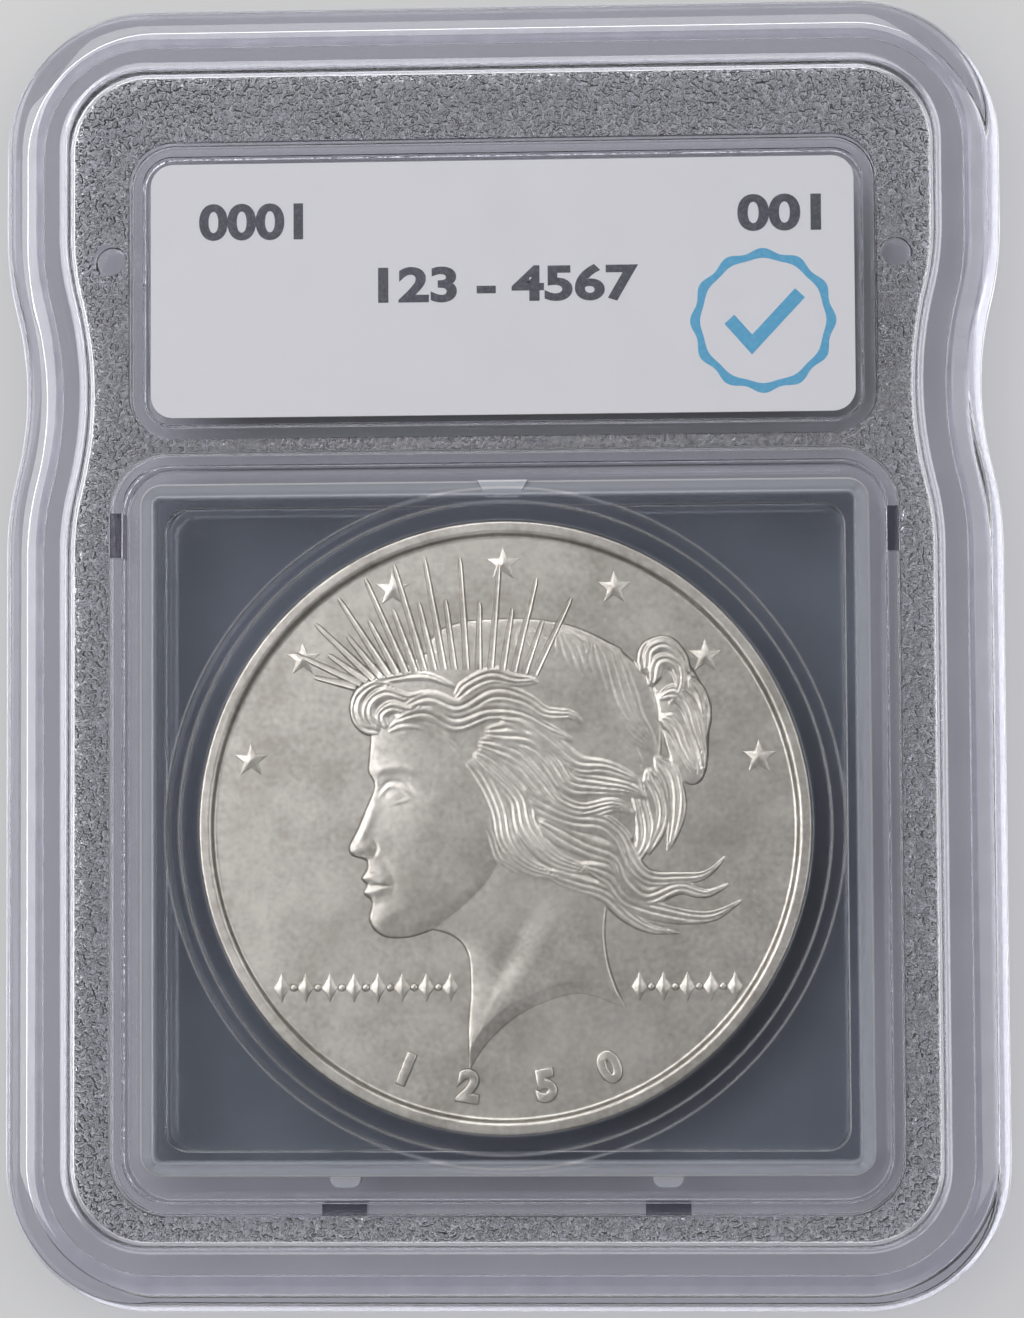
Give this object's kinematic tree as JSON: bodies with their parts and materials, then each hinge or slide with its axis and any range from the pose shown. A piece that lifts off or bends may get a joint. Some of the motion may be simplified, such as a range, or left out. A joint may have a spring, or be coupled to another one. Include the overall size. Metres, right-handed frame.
{
  "type": "graded coin slab",
  "caption": "Flat welded clear case with rounded corners and a shallow waist, holding a large silver coin in a two-piece clear insert below a printed card.",
  "frame": {"origin": "middle of the rear face, on the plane that the slab rests on when it lies on its back", "axes": "+Z out of the front face, +Y from the coin towards the printed card, +X to the right seen from the front"},
  "size_m": [0.062, 0.0812, 0.008],
  "materials": {
    "clear_case": "clear polished styrene with a faint lavender cast, frosted band inside the rim",
    "clear_insert": "clear styrene, slate-blue cast",
    "weld": "re-set clear plastic",
    "coin_silver": "satin struck silver",
    "card_stock": "matte white card, dark grey and sky blue print",
    "foil": "diffractive metallised film"
  },
  "bodies": {
    "root": {"front_shell": "clear_case", "rear_shell": "clear_case", "weld_seam": "weld", "front_insert": "clear_insert", "rear_insert": "clear_insert", "coin": "coin_silver", "label_card": "card_stock", "security_seal": "foil"}
  },
  "joints": []
}
